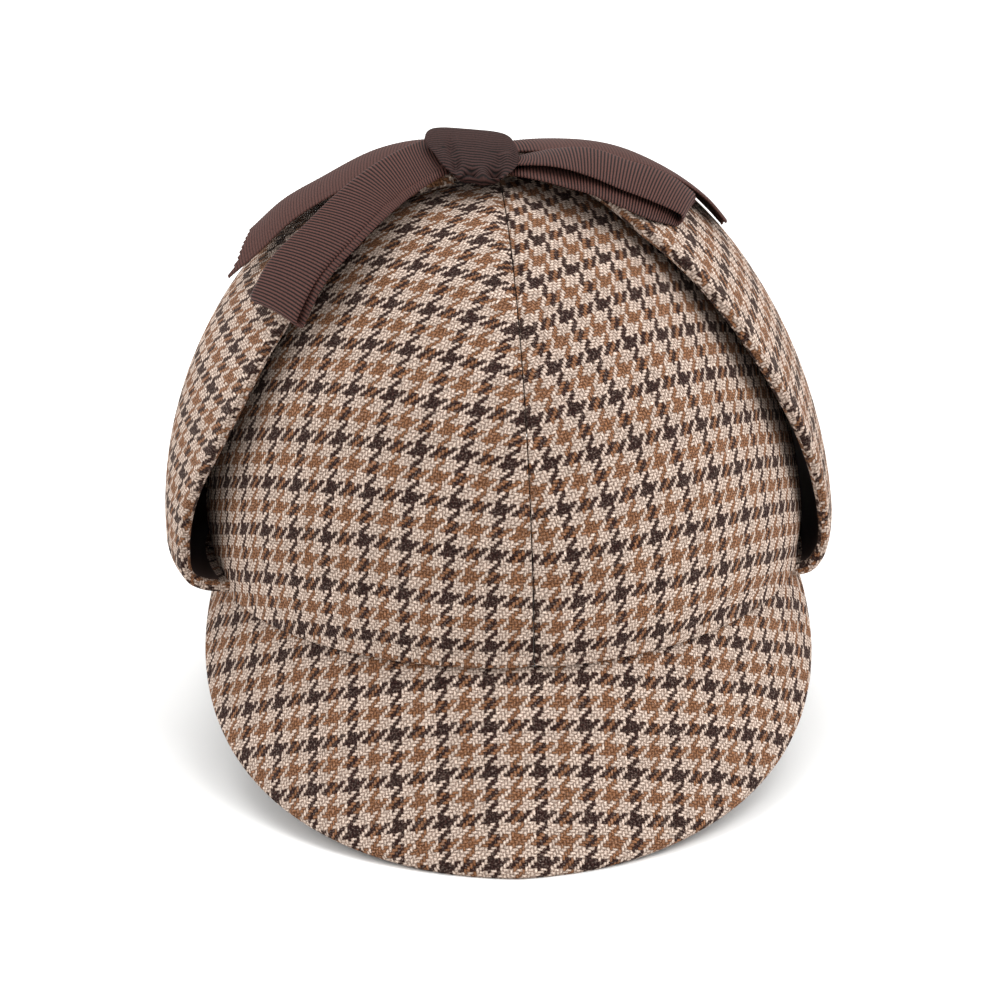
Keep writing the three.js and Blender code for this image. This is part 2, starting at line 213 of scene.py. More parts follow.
def crown_normal(points):
    """The directions square to the crown's skin at points of it over the ring."""
    x, y, z = points[..., 0], points[..., 1], points[..., 2]
    power = fullness(x, y)
    reach = np.hypot(x / ring_half_width, y / ring_half_length) ** (power - 2)
    height = np.maximum(0, (z - RING_HEIGHT) / dome_height) ** (power - 1)
    square = np.stack([reach * x / ring_half_width ** 2, reach * y / ring_half_length ** 2,
                       height / dome_height], -1)
    return square / np.linalg.norm(square, axis=-1, keepdims=True)


def leaned(points):
    """Points of the crown, or of what lies over it, moved by the lean of its sides."""
    share = (points[..., 0] / ring_half_width) ** 2
    share = share * np.maximum(0, (points[..., 2] - RING_HEIGHT) / dome_height)
    return points - np.stack([SIDE_LEAN * share, 0 * share, 0 * share], -1)


def stood(points):
    """Points given over the rim, as they lie with the hat on the table."""
    return points + np.array([0, 0, rim_z])


def spread(count, rolls=(0, 0), length=1.0, steps=5):
    """Shares from 0 to 1, even in the middle and close together over the rolled edges at its two ends."""
    first, last = (roll / length * (1 - np.cos(np.linspace(0, math.pi / 2, steps))) for roll in rolls)
    middle = np.linspace(first[-1], 1 - last[-1], count)
    return np.unique(np.concatenate([first, middle, 1 - last]).round(9))


def grid_normals(points):
    """The directions square to a grid of points, from its own rows and columns."""
    across, up = np.gradient(points, axis=1), np.gradient(points, axis=0)
    square = np.cross(across, up)
    return square / np.maximum(np.linalg.norm(square, axis=-1, keepdims=True), 1e-12)


def edge_distances(points):
    """How far each point of a grid lies from its left, right, bottom and top edge, along the grid."""
    across = np.linalg.norm(np.diff(points, axis=1), axis=-1)
    up = np.linalg.norm(np.diff(points, axis=0), axis=-1)
    from_left = np.concatenate([np.zeros((len(points), 1)), np.cumsum(across, 1)], 1)
    from_bottom = np.concatenate([np.zeros((1, points.shape[1])), np.cumsum(up, 0)], 0)
    return from_left, from_left[:, -1:] - from_left, from_bottom, from_bottom[-1:] - from_bottom


def laid_flat(points, rounds=120, most=34):
    """Where each point of a grid lies once the cloth is laid flat, with every thread as near its length as
    it can be. The cloth is a net of springs, eased round by round on a coarser copy of the grid."""
    rows = np.unique(np.linspace(0, points.shape[0] - 1, min(most, points.shape[0])).round().astype(int))
    columns = np.unique(np.linspace(0, points.shape[1] - 1, min(most, points.shape[1])).round().astype(int))
    net = points[np.ix_(rows, columns)]
    height, width = net.shape[:2]
    index = np.arange(height * width).reshape(height, width)
    pairs = np.concatenate([np.stack([a.ravel(), b.ravel()], 1) for a, b in (
        (index[:, :-1], index[:, 1:]), (index[:-1], index[1:]),
        (index[:-1, :-1], index[1:, 1:]), (index[:-1, 1:], index[1:, :-1]))])
    start, end = pairs.T
    places = net.reshape(-1, 3)
    rest = np.linalg.norm(places[start] - places[end], axis=1)
    pull = 1 / np.maximum(rest, 0.05)
    stiff = np.zeros((len(places), len(places)))
    np.add.at(stiff, (start, start), pull)
    np.add.at(stiff, (end, end), pull)
    np.add.at(stiff, (start, end), -pull)
    np.add.at(stiff, (end, start), -pull)
    solved = np.linalg.inv(stiff + np.eye(len(places)) * 1e-6)
    lengths = edge_distances(net)
    middle = width // 2
    flat = np.stack([lengths[0] - lengths[0][:, middle:middle + 1],
                     np.repeat(lengths[2][:, middle:middle + 1], width, 1)], -1).reshape(-1, 2)
    for _ in range(rounds):
        span = flat[start] - flat[end]
        wanted = span * (rest / np.maximum(np.linalg.norm(span, axis=1), 1e-9))[:, None] * pull[:, None]
        force = np.zeros_like(flat)
        np.add.at(force, start, wanted)
        np.add.at(force, end, -wanted)
        flat = solved @ force
    flat = flat.reshape(height, width, 2)
    wide = np.stack([[np.interp(np.arange(points.shape[1]), columns, row[:, k]) for row in flat]
                     for k in (0, 1)], -1)
    return np.stack([[np.interp(np.arange(points.shape[0]), rows, column) for column in wide[:, :, k].T]
                     for k in (0, 1)], -1).transpose(1, 0, 2)


THREAD = 0.89  # between neighbouring threads of the tweed
DARK_MIDDLE = 2 * THREAD  # a dark check is the crossing of the first four threads of both yarns
TURNED_IN = 3.0  # how much of a piece's inner face is the tweed turned in at its edges, before the lining
UNDER_LAYER = np.array([5.0, 9.0]) * THREAD


def along_the_grain(flat, points, dark_check=None, narrow=1.0, pull=0.0):
    """Turns cloth laid flat so that its threads run up its middle, pulls it, and slides it so that the
    middle of a dark check lies where the picture shows one. Narrow is the width left to a check by the pull,
    and pull how much its rows then rise for each millimetre across."""
    column = flat.shape[1] // 2
    low_row, high_row = int(0.1 * len(flat)), int(0.9 * len(flat))
    run = flat[high_row, column] - flat[low_row, column]
    angle = math.atan2(run[0], run[1])
    flat = flat @ np.array([[math.cos(angle), math.sin(angle)], [-math.sin(angle), math.cos(angle)]])
    flat = flat @ np.array([[1 / narrow, -pull], [0, 1]])
    if dark_check is None:
        return flat
    away = np.linalg.norm(in_picture(points) - np.array(dark_check), axis=-1)
    nearest = np.unravel_index(np.argmin(away), away.shape)
    return flat - flat[nearest] + DARK_MIDDLE


def shell(name, skin, thickness, rolls, cloth, lining_dark_as_shade=None, flat=None, wave=None):
    """A closed piece of cloth from the grid of its outer skin: its inner face lies one thickness inside, and
    its left, right, bottom and top edges are rolled to the given radii. The weave runs on round the rolls."""
    square = grid_normals(skin)
    outside = np.zeros(skin.shape[:2])
    inside = np.full(skin.shape[:2], -thickness)
    if flat is None:
        flat = laid_flat(skin)
    face_map, brim_map = flat.copy(), np.zeros_like(flat)
    edges = ((slice(None), slice(0, 1)), (slice(None), slice(-1, None)), (slice(0, 1), slice(None)),
             (slice(-1, None), slice(None)))
    outwards = (flat[:, :1] - flat[:, 1:2], flat[:, -1:] - flat[:, -2:-1], flat[:1] - flat[1:2],
                flat[-1:] - flat[-2:-1])
    for distance, roll, edge, out in zip(edge_distances(skin), rolls, edges, outwards):
        out = out / np.maximum(np.linalg.norm(out, axis=-1, keepdims=True), 1e-9)
        brim_map[edge] += out * (thickness - 2 * roll)
        if roll:
            near = np.clip(roll - distance, 0, roll)
            drop = roll - np.sqrt(np.maximum(roll ** 2 - near ** 2, 0))
            outside = np.minimum(outside, -drop)
            inside = np.maximum(inside, drop - thickness)
            face_map += out * (roll * np.arcsin(near / roll) - near)[..., None]
    brim_map += face_map
    if wave is not None:
        outside = outside + wave
    faces_of = [skin + square * outside[..., None], skin + square * inside[..., None]]
    height, width = skin.shape[:2]
    verts = stood(np.concatenate([grid.reshape(-1, 3) for grid in faces_of])) * MM
    verts[:, 2] = np.maximum(verts[:, 2], 0)
    index = np.arange(height * width).reshape(height, width)
    outer = np.stack([index[:-1, :-1], index[:-1, 1:], index[1:, 1:], index[1:, :-1]], -1).reshape(-1, 4)
    inner = outer[:, ::-1] + height * width
    loop = np.concatenate([index[0, :-1], index[:-1, -1], index[-1, :0:-1], index[:0:-1, 0]])
    after = np.roll(loop, -1)
    side = np.stack([after, loop, loop + height * width, after + height * width], -1)
    mesh = bpy.data.meshes.new(name)
    mesh.from_pydata(verts.tolist(), [], np.concatenate([outer, inner, side]).tolist())
    face_map, brim_map = face_map.reshape(-1, 2), brim_map.reshape(-1, 2)
    side_map = np.stack([face_map[after], face_map[loop], brim_map[loop], brim_map[after]], 1)
    places = np.concatenate([face_map[outer.ravel()], face_map[outer[:, ::-1].ravel()] + UNDER_LAYER,
                             side_map.reshape(-1, 2)])
    mesh.uv_layers.new(name="cloth").data.foreach_set("uv", places.astype(np.float32).ravel())
    mesh.materials.append(cloth)
    if lining_dark_as_shade:
        mesh.materials.append(lining_dark_as_shade)
        inside_edge = np.minimum.reduce(edge_distances(skin))[:-1, :-1].ravel() > TURNED_IN
        mesh.polygons.foreach_set("material_index", np.concatenate(
            [np.zeros(len(outer), int), inside_edge.astype(int), np.zeros(len(side), int)]))
    mesh.shade_smooth()
    mesh.update()
    piece = bpy.data.objects.new(name, mesh)
    scene.collection.objects.link(piece)
    return piece


def tweed(name, light, tan, dark, fuzz):
    """Houndstooth tweed: woollen yarns woven in a 2/2 twill, 4 threads each of dark, beige, tan and beige
    both ways. Its floats stand up as short rounded ribs, with painted shade in the gaps between them and a
    painted highlight on their crests, and the yarn is a melange of flecks. It is matt, with a faint fuzz. The
    map is in millimetres, so a noise of scale 0.09 changes over about 11 mm."""
    material, shader = new_material(name)
    tree = material.node_tree
    cloth = add(tree, "ShaderNodeUVMap", uv_map="cloth")
    # No thread runs quite straight: its line drifts slowly and wobbles, and its edge is ragged with fibres.
    drift = add(tree, "ShaderNodeTexNoise", {"Vector": cloth, "Scale": 0.09, "Detail": 1.0})
    drift = add(tree, "ShaderNodeVectorMath", {0: drift.node.outputs["Color"], 1: (0.5, 0.5, 0.5)},
                operation="SUBTRACT")
    drift = add(tree, "ShaderNodeVectorMath", {0: drift, "Scale": 1.6}, operation="SCALE")
    uneven = add(tree, "ShaderNodeTexNoise", {"Vector": cloth, "Scale": 0.8, "Detail": 2.0})
    uneven = add(tree, "ShaderNodeVectorMath", {0: uneven.node.outputs["Color"], 1: (0.5, 0.5, 0.5)},
                 operation="SUBTRACT")
    uneven = add(tree, "ShaderNodeVectorMath", {0: uneven, "Scale": 0.75}, operation="SCALE")
    stray = add(tree, "ShaderNodeTexNoise", {"Vector": cloth, "Scale": 3.4, "Detail": 1.0})
    stray = add(tree, "ShaderNodeVectorMath", {0: stray.node.outputs["Color"], 1: (0.5, 0.5, 0.5)},
                operation="SUBTRACT")
    stray = add(tree, "ShaderNodeVectorMath", {0: stray, "Scale": 0.6}, operation="SCALE")
    place = add(tree, "ShaderNodeVectorMath", {0: cloth, 1: drift}, operation="ADD")
    place = add(tree, "ShaderNodeVectorMath", {0: place, 1: uneven}, operation="ADD")
    place = add(tree, "ShaderNodeVectorMath", {0: place, 1: stray}, operation="ADD")
    threads = add(tree, "ShaderNodeVectorMath", {0: place, "Scale": 1 / THREAD}, operation="SCALE")
    threads = add(tree, "ShaderNodeSeparateXYZ", {0: threads}).node.outputs
    # For the warp, counted across, and the weft, counted upwards: each thread's colour, shade and round back.
    yarns, shades, ribs = [], [], []
    whole = [add(tree, "ShaderNodeMath", {0: threads[k]}, operation="FLOOR") for k in (0, 1)]
    for k in (0, 1):
        turn = add(tree, "ShaderNodeMath", {0: whole[k], 1: 0.5}, operation="ADD")
        turn = add(tree, "ShaderNodeMath", {0: turn, 1: 16.0}, operation="DIVIDE")
        turn = add(tree, "ShaderNodeMath", {0: turn}, operation="FRACT")
        ramp = add(tree, "ShaderNodeValToRGB", {0: turn})
        stops = ramp.node.color_ramp
        stops.interpolation = "CONSTANT"
        stops.elements[0].color = linear(dark)
        stops.elements[1].position = 0.25
        stops.elements[1].color = linear(light)
        stops.elements.new(0.5).color = linear(tan)
        stops.elements.new(0.75).color = linear(light)
        yarns.append(ramp)
        seed = add(tree, "ShaderNodeMath", {0: whole[k], 1: 0.37 + k}, operation="ADD")
        shades.append(add(tree, "ShaderNodeTexWhiteNoise", {"W": seed}, noise_dimensions="1D"))
        within = add(tree, "ShaderNodeMath", {0: threads[k]}, operation="FRACT")
        within = add(tree, "ShaderNodeMath", {0: within, 1: math.pi}, operation="MULTIPLY")
        ribs.append(add(tree, "ShaderNodeMath", {0: within}, operation="SINE"))
    # The twill steps one thread further in each row: two threads over, then two under.
    step = add(tree, "ShaderNodeMath", {0: whole[0], 1: whole[1]}, operation="SUBTRACT")
    step = add(tree, "ShaderNodeMath", {0: step, 1: 4.0}, operation="FLOORED_MODULO")
    warp_up = add(tree, "ShaderNodeMath", {0: step, 1: 1.5}, operation="LESS_THAN")
    floats = []
    for k in (0, 1):
        run = add(tree, "ShaderNodeMath", {0: threads[1 - k], 1: whole[k]}, operation="SUBTRACT")
        run = add(tree, "ShaderNodeMath", {0: run, 1: 1.0 - k}, operation="ADD")
        run = add(tree, "ShaderNodeMath", {0: run, 1: 2.0}, operation="FLOORED_MODULO")
        run = add(tree, "ShaderNodeMath", {0: run, 1: math.pi / 2}, operation="MULTIPLY")
        run = add(tree, "ShaderNodeMath", {0: run}, operation="SINE")
        floats.append(add(tree, "ShaderNodeMath", {0: run, 1: ribs[k]}, operation="MULTIPLY"))
    relief = add(tree, "ShaderNodeMix", {0: warp_up, 2: floats[1], 3: floats[0]})
    relief = add(tree, "ShaderNodeMath", {0: relief, 1: 0.6}, operation="POWER")
    yarn = add(tree, "ShaderNodeMix", {0: warp_up, 6: yarns[1], 7: yarns[0]}, data_type="RGBA")
    yarn = yarn.node.outputs[2]
    shade = add(tree, "ShaderNodeMix", {0: warp_up, 2: shades[1], 3: shades[0]})
    # The melange of the wool, painted shade in the gaps between the threads with a painted highlight on their
    # floats, and pale lint lying on them.
    melange = add(tree, "ShaderNodeTexNoise", {"Vector": place, "Scale": 2.6, "Detail": 2.0})
    fleck = add(tree, "ShaderNodeMapRange", {"Value": melange, 1: 0.28, 2: 0.72, 3: 0.4, 4: 1.65})
    shade = add(tree, "ShaderNodeMapRange", {"Value": shade, 1: 0.0, 2: 1.0, 3: 0.88, 4: 1.1})
    # Painted shade and highlight: by the relief, the colour is darkened to a warm brown in the gaps between
    # the threads and lightened on the crests of their floats.
    depth = add(tree, "ShaderNodeMix", {0: relief, 6: (0.26, 0.19, 0.15, 1), 7: (1.22, 1.22, 1.22, 1)},
                data_type="RGBA").node.outputs[2]
    lint = add(tree, "ShaderNodeTexNoise", {"Vector": place, "Scale": 1.7, "Detail": 2.0})
    lint = add(tree, "ShaderNodeMapRange", {"Value": lint, 1: 0.5, 2: 0.75, 3: 0.0, 4: 0.34})
    yarn = add(tree, "ShaderNodeMix", {0: lint, 6: yarn, 7: linear(light)}, data_type="RGBA").node.outputs[2]
    level_of = add(tree, "ShaderNodeMath", {0: fleck, 1: shade}, operation="MULTIPLY")
    colour = add(tree, "ShaderNodeVectorMath", {0: yarn, "Scale": level_of}, operation="SCALE")
    colour = add(tree, "ShaderNodeVectorMath", {0: colour, 1: depth}, operation="MULTIPLY")
    height_of = add(tree, "ShaderNodeMath", {0: melange, 1: 0.5}, operation="MULTIPLY")
    height_of = add(tree, "ShaderNodeMath", {0: relief, 1: height_of}, operation="ADD")
    bump = add(tree, "ShaderNodeBump", {"Height": height_of, "Strength": 0.8, "Distance": 0.35 * MM})
    links = tree.links
    links.new(colour, shader.inputs["Base Color"])
    links.new(bump, shader.inputs["Normal"])
    shader.inputs["Roughness"].default_value = 0.95
    shader.inputs["Specular IOR Level"].default_value = 0.1
    shader.inputs["Sheen Weight"].default_value = fuzz
    shader.inputs["Sheen Tint"].default_value = linear(light)
    shader.inputs["Sheen Roughness"].default_value = 0.5
    return material


BEIGE, TAN, DARK = "#BAA89B", "#7B553B", "#2C1A17"
FUZZ, FLAP_FUZZ = 0.03, 0.12  # the sheen of its fuzz, more on the flaps, which are seen edge-on
crown_tweed = tweed("houndstooth_tweed_crown", BEIGE, TAN, DARK, FUZZ)
# Cotton lining: a close plain weave, dyed brown, so fine that it shows as a plain matt brown. How dark it is,
# is partly painted shade, standing in for the deep shadow inside the crown and behind the flaps.
lining_dark_as_shade, lining_dark_as_shade_shader = new_material("plain_cotton_lining_dark_as_shade")
lining_dark_as_shade_shader.inputs["Base Color"].default_value = linear("#3A2A25")
lining_dark_as_shade_shader.inputs["Roughness"].default_value = 0.8

climb_at_rim = -math.asin((RING_HEIGHT + RIM_LAP) / tuck_height)
climb_at_apex = math.acos((APEX_HOLE / ring_half_width) ** (FRONT_FULLNESS / 2))
CHECK_NARROWED = 0.92  # steamed and pulled over the block, the gores' checks are this much narrower
GORES = {  # first azimuth, a pixel at which a dark check shows, and how much the block pulled its rows
    "crown_gore_front_left": (-90, (449, 596), 0.075),
    "crown_gore_front_right": (0, (578, 603), -0.075),
    "crown_gore_back_right": (90, None, 0.075),
    "crown_gore_back_left": (180, None, -0.075),
}
for gore_name, (first, dark_check, pull) in GORES.items():
    quarter = math.pi / 2
    climbs = climb_at_rim + (climb_at_apex - climb_at_rim) * spread(110, (RIM_ROLL, 0), GORE_LENGTH)
    shares = spread(90, (SEAM_REACH, SEAM_REACH), GORE_WIDTH)
    climb, share = np.meshgrid(climbs, shares, indexing="ij")
    from_axis = crown_skin(np.full_like(climb, math.radians(first + CROWN_TURN)), climb)
    margin = SEAM_GAP / 2 / np.hypot(from_axis[..., 0], from_axis[..., 1])
    azimuth = math.radians(first + CROWN_TURN) + margin + (quarter - 2 * margin) * share
    skin = leaned(crown_skin(azimuth, climb))
    from_left, from_right, from_rim, _ = edge_distances(skin)
    seam = np.exp(-(from_left / SEAM_REACH) ** 2) + np.exp(-(from_right / SEAM_REACH) ** 2)
    soft = 0.5 * np.sin(3.1 * azimuth + 2.3 * climb + first) + 0.4 * np.sin(5.3 * azimuth - 4.1 * climb)
    wave = -SEAM_DIP * seam + soft * (1 - np.clip(seam, 0, 1)) * SOFTNESS
    wave = wave + RIM_BULGE * np.exp(-(from_rim / RIM_BULGE_REACH) ** 2)
    flat = along_the_grain(laid_flat(skin), stood(skin), dark_check, CHECK_NARROWED, pull)
    gore = shell(gore_name + "_cloth", skin, CROWN_WALL, (SEAM_ROLL, SEAM_ROLL, RIM_ROLL, 0), crown_tweed,
                 lining_dark_as_shade, flat, wave)
    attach(gore, "root")
    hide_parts(gore_name)

# Peaks: stiff board covered with tweed on both sides, sewn to the rim, with a turned edge and no stitching.
# Each slopes down from the rim, most steeply at its ends, and the hat stands on their lowest edges.
PEAK_DEPTH = 63.5  # down its slope, at the front
PEAK_THICKNESS = 4.0
PEAK_REACH = math.radians(87)  # how far round it goes, each way
PEAK_SLOPE, PEAK_END_SLOPE = 54, 68  # degrees under the horizontal
PEAK_ROUNDNESS = 1.5  # exponent of its outline: 2 is an ellipse
PEAK_END_SHARE = 0.985  # its thin ends are cut off here
PEAK_INSET = 0.8  # of its upper edge, inside the crown's
PEAK_EDGE = 1.9  # radius of the turned edge
PEAK_SEAM_ROLL = 1.0  # and of the edge at the rim, where the seam makes a crease
PEAK_END_ROLL = 0.8
PEAK_DARK_CHECK = (538, 679)  # a pixel at which a dark check shows

peak_tweed = tweed("houndstooth_tweed_peak", BEIGE, TAN, DARK, FUZZ)


def peak_skin(u, v):
    """The upper face of the front peak: u goes from end to end, v from the outer edge to the rim."""
    share = (2 * u - 1) * PEAK_END_SHARE
    azimuth = PEAK_REACH * share
    depth = PEAK_DEPTH * (1 - np.abs(share) ** PEAK_ROUNDNESS) ** (1 / PEAK_ROUNDNESS)
    slope = np.radians(PEAK_SLOPE + (PEAK_END_SLOPE - PEAK_SLOPE) * np.abs(np.sin(azimuth)))
    half_width, half_length = RIM_HALF_WIDTH - PEAK_INSET, RIM_HALF_LENGTH - PEAK_INSET
    out_x, out_y = half_length * np.sin(azimuth), -half_width * np.cos(azimuth)
    size = np.hypot(out_x, out_y)
    down = depth * (1 - v)
    return np.stack([half_width * np.sin(azimuth) + out_x / size * down * np.cos(slope),
                     -half_length * np.cos(azimuth) + out_y / size * down * np.cos(slope),
                     -SEAM_GAP - down * np.sin(slope)], -1)


v_grid, u_grid = np.meshgrid(spread(60, (PEAK_EDGE, PEAK_SEAM_ROLL), PEAK_DEPTH), spread(180), indexing="ij")
front_skin = peak_skin(u_grid, v_grid)
peak_flat = along_the_grain(laid_flat(front_skin), stood(front_skin), PEAK_DARK_CHECK)
for peak_name, facing in (("front_peak", 1), ("back_peak", -1)):
    peak_grid = front_skin * np.array([facing, facing, 1])
    peak = shell(peak_name + "_cloth", peak_grid, PEAK_THICKNESS,
                 (PEAK_END_ROLL, PEAK_END_ROLL, PEAK_EDGE, PEAK_SEAM_ROLL), peak_tweed, flat=peak_flat)
    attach(peak, "root")
    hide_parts(peak_name)

# Ear flaps: two layers of tweed turned in at the edge, sewn to the rim between the ends of the peaks.
# Folded up, each stands off the crown at the ear and lies close to it at its tip, under the knot.
# In a pair of values by side, 1 is the right flap, at +X, and -1 the left one.
FLAP_THICKNESS = 3.4
FLAP_HALF_WIDTH = 40.0
FLAP_SHIFT, TIP_SHIFT = 7.0, 2.0  # the right flap sits this far back and the left one forward
TIP_PUFF = 0.5  # free space under a flap at its tip
PUFF_STOPS = (0, 0.35, 0.6, 0.8, 1)  # shares of the way from ear to tip
FRONT_PUFFS = {1: (7.2, 6.3, 5.2, 2.4, TIP_PUFF), -1: (8.5, 5.0, 3.8, 2.4, TIP_PUFF)}  # under the front edge
BACK_PUFFS = {1: (3.0, 5.5, 7.5, 5.0, TIP_PUFF), -1: (-2.4, -0.4, 1.6, 1.6, TIP_PUFF)}
BACK_FADE = 3.0  # a higher number keeps the front edge's puff for more of the width
FRONT_FULL = {1: 3.0, -1: 5.0}  # how far the front edge swings forward over the ear
FULL_AT, FULL_REACH = 0.28, 0.2  # where it does so most, and how far that shows, as shares from ear to tip
SWAYS = {1: (1.3, 3), -1: (1.8, 1)}  # how far a flap is pulled towards -X at the ear, and how fast that fades
FOOT_SHARE = 0.16  # the share of a flap's rows in its foot, the fold that carries it out from the rim
FOOT_HEIGHT = 6.5  # of that fold
FOOT_TUCK = 3.0  # how far the foot's end is hidden inside the crown's wall
FOOT_SPLAY = 3  # how little the foot fans out along the rim: 1 is straight out from the crown's middle
FOOT_SQUARENESS = 0.7  # 1 is a round fold, and a lower number a squarer one
FOOT_DROPS = {1: 4.0, -1: -0.6}  # how far a foot sags under the rim
TIP_GAP = 12.2  # between the tips of the two flaps
FLAP_EDGE = 1.2  # radius of the turned edge
FLAP_LENGTH, FLAP_WIDTH = 150, 66  # roughly, to share out a flap's rows and columns
HEM, HEM_WIDTH, HEM_FADE = 0.5, 6.0, 0.5  # the cloth turned in makes the edge this much thicker
BOW_OFFSET = -7.0  # the bow is tied this far from the middle
FLAP_OUTLINE = (  # share of the way from ear to tip, and half the width there as a share of the widest
    (0, 0.73), (0.3, 0.96), (0.5, 1), (0.68, 0.84), (0.84, 0.38), (1, 0.2))

flap_tweed = tweed("houndstooth_tweed_flap", BEIGE, TAN, DARK, FLAP_FUZZ)


def through(stops, values, share):
    """A smooth curve through values at the shares in stops."""
    stops, values = np.array(stops, float), np.array(values, float)
    share = np.clip(share, stops[0], stops[-1])
    after = np.clip(np.searchsorted(stops, share - 1e-9), 1, len(stops) - 1)
    t = (share - stops[after - 1]) / (stops[after] - stops[after - 1])
    before, start = values[np.maximum(after - 2, 0)], values[after - 1]
    end, beyond = values[after], values[np.minimum(after + 1, len(values) - 1)]
    leave, arrive = (end - before) / 2, (beyond - start) / 2
    return (start + leave * t + (3 * (end - start) - 2 * leave - arrive) * t ** 2
            + (2 * (start - end) + leave + arrive) * t ** 3)


def puff(side, u, v):
    """The free space under a flap, u of the way from its front to its back edge and v from ear to tip."""
    front, back = through(PUFF_STOPS, FRONT_PUFFS[side], v), through(PUFF_STOPS, BACK_PUFFS[side], v)
    return front + (back - front) * np.clip(u, 0, 1) ** BACK_FADE


def flap_face(side, u, v):
    """The outer face of a folded flap: u goes from its front edge to its back edge, v from ear to tip."""
    half = FLAP_HALF_WIDTH * through(*zip(*FLAP_OUTLINE), v)
    y = (2 * u - 1) * half + side * (FLAP_SHIFT + (TIP_SHIFT - FLAP_SHIFT) * v)
    y = y - FRONT_FULL[side] * np.exp(-((v - FULL_AT) / FULL_REACH) ** 2) * np.clip(1 - u, 0, 1) ** 2
    climb_at_tip = math.acos((side * BOW_OFFSET + TIP_GAP / 2) / ring_half_width)
    x = side * ring_half_width * np.cos(climb_at_tip * v) * np.sqrt(1 - (y / ring_half_length) ** 2)
    skin = crown_over(x, y)
    return leaned(skin + crown_normal(skin) * (puff(side, u, v) + FLAP_THICKNESS)[..., None])


def flap_skin(side, u, v):
    """The whole outer skin of a flap, with the foot that carries it out from the rim."""
    across = u if side > 0 else 1 - u
    face = flap_face(side, across, np.clip((v - FOOT_SHARE) / (1 - FOOT_SHARE), 0, 1))
    start = flap_face(side, across, 0 * v)
    low = np.clip(v / FOOT_SHARE, 0, 1)
    turn = (1 - low) * math.pi / 2
    outward = np.stack([start[..., 0], start[..., 1] / FOOT_SPLAY], -1)
    outward = outward / np.linalg.norm(outward, axis=-1, keepdims=True)
    reach = (puff(side, across, 0 * v) + FLAP_THICKNESS + FOOT_TUCK) * (1 - np.cos(turn) ** FOOT_SQUARENESS)
    low_end = SEAM_GAP - FOOT_DROPS[side]
    straight = start[..., 2] - low_end - FOOT_HEIGHT
    foot = np.stack([start[..., 0] - outward[..., 0] * reach, start[..., 1] - outward[..., 1] * reach,
                     low_end + FOOT_HEIGHT * (1 - np.sin(turn) ** FOOT_SQUARENESS) + straight * low ** 2], -1)
    over = np.clip((v - FOOT_SHARE) / (1 - FOOT_SHARE), 0, 1)
    sway = SWAYS[side][0] * np.minimum(1, 2 * low) * (1 - over) ** SWAYS[side][1]
    return np.where((v < FOOT_SHARE)[..., None], foot, face) - np.stack([sway, 0 * v, 0 * v], -1)


for flap_name, side in (("ear_flap_right", 1), ("ear_flap_left", -1)):
    v_grid, u_grid = np.meshgrid(spread(120, (0, FLAP_EDGE), FLAP_LENGTH),
                                 spread(70, (FLAP_EDGE, FLAP_EDGE), FLAP_WIDTH), indexing="ij")
    skin = flap_skin(side, u_grid, v_grid)
    flat = along_the_grain(laid_flat(skin), stood(skin))
    edges = edge_distances(skin)
    nearest = np.minimum(np.minimum(edges[0], edges[1]), edges[3])
    hem = HEM / (1 + np.exp((nearest - HEM_WIDTH) / HEM_FADE)) * np.clip(v_grid / FOOT_SHARE - 1, 0, 1)
    flap = shell(flap_name + "_cloth", skin, FLAP_THICKNESS, (FLAP_EDGE, FLAP_EDGE, 0, FLAP_EDGE),
                 flap_tweed, lining_dark_as_shade, flat, hem)
    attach(flap, "root")
    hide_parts(flap_name)

# Bow: grosgrain ribbon, its cords standing up across it, tied over the tips of the flaps. Each loop goes out,
# turns over and comes back under itself a little nearer the front, and the tails are cut with pinking shears.
RIBBON_THICKNESS = 0.7
RIBBON_EDGE = 0.3  # radius of its long edges
RIBBON_SINK = 0.15  # the outer face lies this far inside the solid band's
RIB_PITCH = 1.05  # from cord to cord
RIB_HEIGHT = 0.18
BOW_HEIGHT = 10.0  # what a lift of 1 is in the rows below
TURN_SHARE = 0.12  # the share of a loop's length in its turn
KNOT_LENGTH = 24.5  # from its left to its right end
TUCK = -0.1  # the share of its length at which a ribbon starts, inside the knot
TOOTH_PITCH, TOOTH_DEPTH = 2.2, 2.0  # of the pinking
SLANT_ACROSS = (0, 0.12, 0.2, 0.8, 0.93, 1)  # the left tail is cut aslant: how far in, by shares across it
SLANT_DEPTHS = (0, 3.0, 4.6, 5.2, 5.4, 1.0)
TAIL_CORDS = 0.35  # the share of their height that the cords have on the tails, where they hardly show
BOW_CROWN = 0.2  # how much a band bulges across
GATHER, GATHER_REACH = 2.0, 10.0  # how far the cords bend where the knot gathers a loop, and how far out
